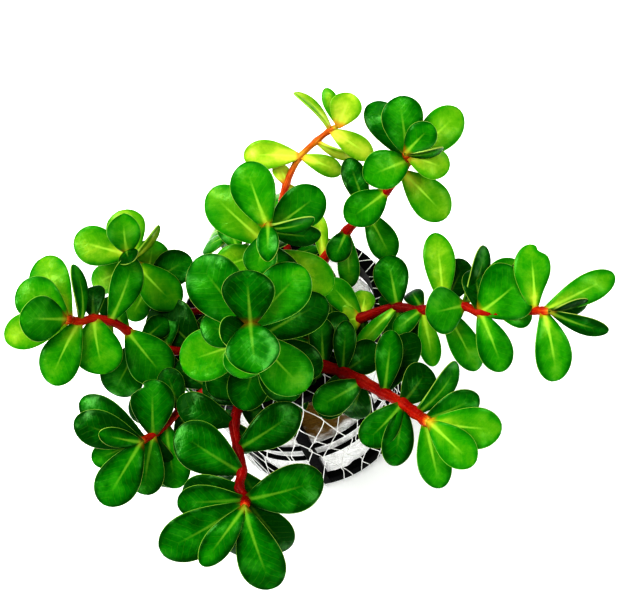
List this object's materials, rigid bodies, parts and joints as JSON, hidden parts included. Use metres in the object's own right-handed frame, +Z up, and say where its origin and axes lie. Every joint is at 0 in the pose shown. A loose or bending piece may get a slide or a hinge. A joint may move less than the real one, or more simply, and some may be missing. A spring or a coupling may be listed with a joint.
{
  "type": "bonsai ammannia",
  "caption": "bushy red-stemmed aquarium plant with small thick spoon-shaped green leaves, rooted in a wool plug inside a round black lattice net pot with white netting",
  "frame": {"origin": "middle of the pot's flat underside, on the table", "axes": "+Z up out of the pot's mouth along its axis, -Y toward the side that the picture looks at, +X to the right of it"},
  "size_m": [0.1173, 0.0982, 0.085],
  "materials": {
    "pot_plastic": "black moulded plastic with a soft sheen",
    "netting": "thin white plastic netting",
    "rockwool": "damp grey-white mineral wool, loose fibres",
    "foliage": "glossy thick green leaves with a pale midrib, on a red fleshy stem"
  },
  "bodies": {
    "root": {"net_pot": "pot_plastic", "net_sleeve": "netting", "rockwool_plug": "rockwool", "shoot_back": "foliage", "shoot_back_right": "foliage", "shoot_crown": "foliage", "shoot_front_crown": "foliage", "shoot_inner": "foliage", "shoot_left": "foliage", "shoot_back_left": "foliage", "shoot_front_left": "foliage", "shoot_front": "foliage", "shoot_front_right": "foliage", "shoot_right": "foliage", "shoot_rear_left": "foliage", "shoot_rear_right": "foliage"}
  },
  "joints": []
}
